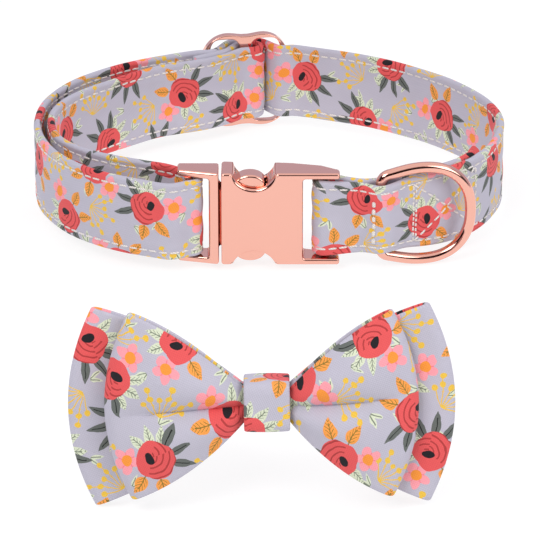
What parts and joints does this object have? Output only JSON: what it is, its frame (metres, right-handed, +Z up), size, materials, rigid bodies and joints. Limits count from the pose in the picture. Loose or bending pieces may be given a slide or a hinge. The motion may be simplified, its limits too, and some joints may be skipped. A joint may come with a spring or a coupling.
{
  "type": "pet bow tie collar",
  "caption": "Printed cloth pet collar closed by a rose gold side-release buckle, with leash ring, adjusting slider and a slide-on bow tie.",
  "frame": {"origin": "on the floor, under the middle of the box that holds the collar and the bow tie", "axes": "+Z up, +Y from the bow tie towards the back of the neck, +X to the viewer's right, seen from the front"},
  "size_m": [0.1472, 0.2838, 0.0551],
  "materials": {
    "strap_cloth": "printed woven cotton over webbing, stitched edges",
    "bow_cloth": "printed woven cotton",
    "elastic": "woven elastic",
    "rose_gold_plate": "polished rose gold plate on cast zinc"
  },
  "bodies": {
    "collar": {"strap": "strap_cloth", "buckle_socket": "rose_gold_plate", "buckle_plug": "rose_gold_plate", "slider": "rose_gold_plate", "bow_front": "bow_cloth", "bow_back": "bow_cloth", "bow_knot": "bow_cloth", "bow_loop": "elastic"},
    "d_ring": {"d_ring": "rose_gold_plate"}
  },
  "joints": [
    {"name": "d_ring_swing", "type": "hinge", "parent": "collar", "child": "d_ring", "pos_m": [0.03393, 0.02167, 0.017], "axis": [0, 0, -1], "range_deg": [0, 100]}
  ]
}
